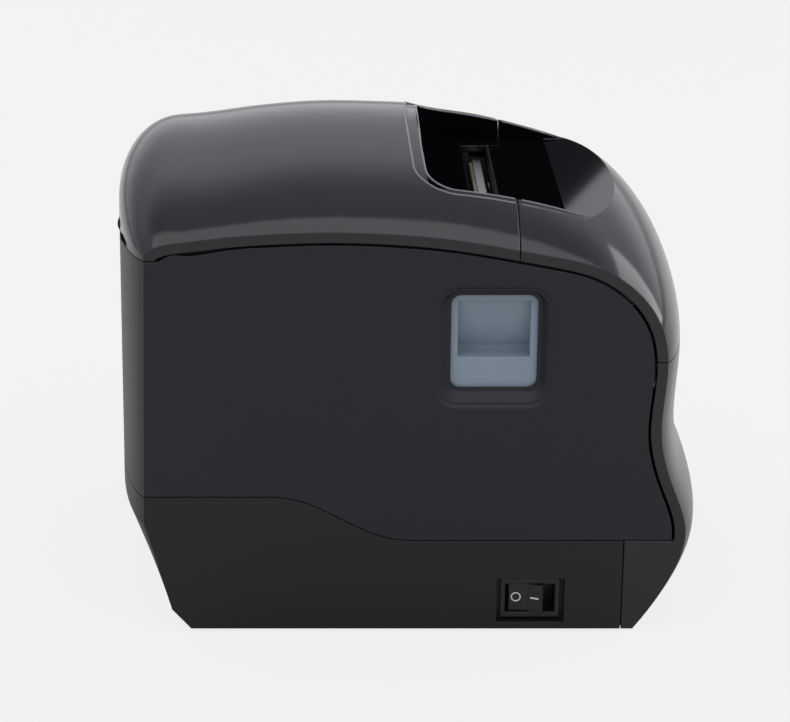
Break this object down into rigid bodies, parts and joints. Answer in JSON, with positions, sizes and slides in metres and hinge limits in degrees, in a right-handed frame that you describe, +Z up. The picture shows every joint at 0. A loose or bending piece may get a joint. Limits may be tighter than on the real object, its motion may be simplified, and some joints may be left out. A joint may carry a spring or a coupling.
{
  "type": "thermal receipt printer",
  "caption": "Desktop thermal receipt printer: rounded body, sunken paper exit in the top, hinged lid over a drop-in roll bay, side latches and a rocker switch.",
  "frame": {"origin": "under the middle of the body, on the plane the feet rest on", "axes": "+X right of someone facing the front, the front looks along -Y, +Z up"},
  "size_m": [0.148, 0.2118, 0.1719],
  "materials": {
    "cover_gloss": "gloss",
    "case_satin": "satin",
    "bezel_gloss": "gloss",
    "base_satin": "satin",
    "latch_blue": "satin",
    "inner_black": "matte",
    "bay_grey": "matte",
    "guide_grey": "matte",
    "acetal_white": "satin",
    "zinc_sheet": "satin",
    "steel_pin": "polished",
    "spring_steel": "satin",
    "screw_steel": "satin",
    "motor_steel": "satin",
    "platen_rubber": "matte",
    "foot_rubber": "matte",
    "bush_brass": "satin",
    "head_ceramic": "satin",
    "board_green": "satin",
    "button_grey": "satin",
    "light_clear": "clear",
    "switch_black": "satin",
    "port_black": "matte"
  },
  "bodies": {
    "housing": {"mid_housing": "case_satin", "base_tray": "base_satin", "front_bezel": "bezel_gloss", "front_cover": "cover_gloss", "tear_bar": "zinc_sheet", "rubber_feet": "foot_rubber", "switch_housing": "switch_black", "media_bay": "bay_grey", "pinion_screw": "screw_steel", "mech_frame": "zinc_sheet", "head_shaft": "steel_pin", "head_springs": "spring_steel", "idler_pin": "steel_pin", "motor": "motor_steel", "hook_pins": "steel_pin", "latch_spring_left": "spring_steel", "latch_spring_right": "spring_steel", "main_board": "board_green", "power_inlet": "port_black", "data_port": "port_black", "paper_sensor": "port_black", "base_screws": "screw_steel", "frame_screws": "screw_steel", "panel_board": "board_green", "status_light": "light_clear", "hinge_pin": "steel_pin"},
    "lid": {"lid_shell": "cover_gloss", "lid_frame": "inner_black", "striker_pins": "steel_pin", "lid_screws": "screw_steel", "platen_bushes": "bush_brass"},
    "platen": {"platen_roller": "platen_rubber", "platen_shaft": "steel_pin", "platen_gear": "acetal_white"},
    "idler": {"idler_gear": "acetal_white"},
    "drive_pinion": {"motor_pinion": "acetal_white", "motor_shaft": "steel_pin"},
    "head": {"head_bracket": "zinc_sheet", "print_head": "head_ceramic"},
    "latch_slider_left": {"latch_left": "latch_blue"},
    "latch_slider_right": {"latch_right": "latch_blue"},
    "hook_lever_left": {"hook_left": "zinc_sheet"},
    "hook_lever_right": {"hook_right": "zinc_sheet"},
    "rocker": {"switch_rocker": "switch_black"},
    "paper_guide_left": {"guide_left": "guide_grey"},
    "paper_guide_right": {"guide_right": "guide_grey"},
    "guide_gear": {"guide_pinion": "acetal_white"},
    "button": {"feed_button": "button_grey"}
  },
  "joints": [
    {"name": "lid_hinge", "type": "hinge", "parent": "housing", "child": "lid", "pos_m": [0, 0.1004, 0.14], "axis": [-1, 0, 0], "range_deg": [0, 90]},
    {"name": "platen_spin", "type": "hinge", "parent": "lid", "child": "platen", "pos_m": [0, -0.0175, 0.137], "axis": [1, 0, 0], "continuous": true},
    {"name": "idler_spin", "type": "hinge", "parent": "housing", "child": "idler", "pos_m": [0.0529, -0.02448, 0.11783], "axis": [1, 0, 0], "continuous": true},
    {"name": "drive_pinion_spin", "type": "hinge", "parent": "housing", "child": "drive_pinion", "pos_m": [0.0529, -0.03721, 0.1051], "axis": [1, 0, 0], "continuous": true},
    {"name": "head_pivot", "type": "hinge", "parent": "housing", "child": "head", "pos_m": [0, -0.0295, 0.123], "axis": [1, 0, 0], "range_deg": [0, 3], "stiffness_Nm_per_rad": 1.2, "springref_deg": -6.88, "deforming": ["head_springs"]},
    {"name": "latch_left_slide", "type": "slide", "parent": "housing", "child": "latch_slider_left", "axis": [0, 0, -1], "range_m": [0, 0.004], "stiffness_N_per_m": 400, "springref_m": -0.002, "deforming": ["latch_spring_left"]},
    {"name": "latch_right_slide", "type": "slide", "parent": "housing", "child": "latch_slider_right", "axis": [0, 0, -1], "range_m": [0, 0.004], "stiffness_N_per_m": 400, "springref_m": -0.002, "deforming": ["latch_spring_right"]},
    {"name": "hook_left_pivot", "type": "hinge", "parent": "housing", "child": "hook_lever_left", "pos_m": [-0.0576, 0, 0.112], "axis": [1, 0, 0], "range_deg": [0, 8]},
    {"name": "hook_right_pivot", "type": "hinge", "parent": "housing", "child": "hook_lever_right", "pos_m": [0.0576, 0, 0.112], "axis": [1, 0, 0], "range_deg": [0, 8]},
    {"name": "switch_rock", "type": "hinge", "parent": "housing", "child": "rocker", "pos_m": [-0.0653, -0.0428, 0.0126], "axis": [0, 0, 1], "range_deg": [0, 25.6]},
    {"name": "guide_left_slide", "type": "slide", "parent": "housing", "child": "paper_guide_left", "axis": [1, 0, 0], "range_m": [0, 0.028]},
    {"name": "guide_right_slide", "type": "slide", "parent": "housing", "child": "paper_guide_right", "axis": [-1, 0, 0], "range_m": [0, 0.028]},
    {"name": "guide_gear_spin", "type": "hinge", "parent": "housing", "child": "guide_gear", "pos_m": [0, 0.042, 0.0465], "axis": [0, 0, 1], "range_deg": [0, 335]},
    {"name": "feed_button_press", "type": "slide", "parent": "housing", "child": "button", "axis": [0, 1, 0], "range_m": [0, 0.0012], "stiffness_N_per_m": 500, "springref_m": -0.0006}
  ],
  "couplings": [
    {"joint": "idler_spin", "follows": "platen_spin", "ratio": -0.7},
    {"joint": "drive_pinion_spin", "follows": "platen_spin", "ratio": 1.4},
    {"joint": "hook_left_pivot", "follows": "latch_left_slide", "rad_per_m": 33.333},
    {"joint": "hook_right_pivot", "follows": "latch_right_slide", "rad_per_m": 33.333},
    {"joint": "guide_right_slide", "follows": "guide_left_slide", "ratio": 1},
    {"joint": "guide_gear_spin", "follows": "guide_left_slide", "rad_per_m": 208.33}
  ]
}
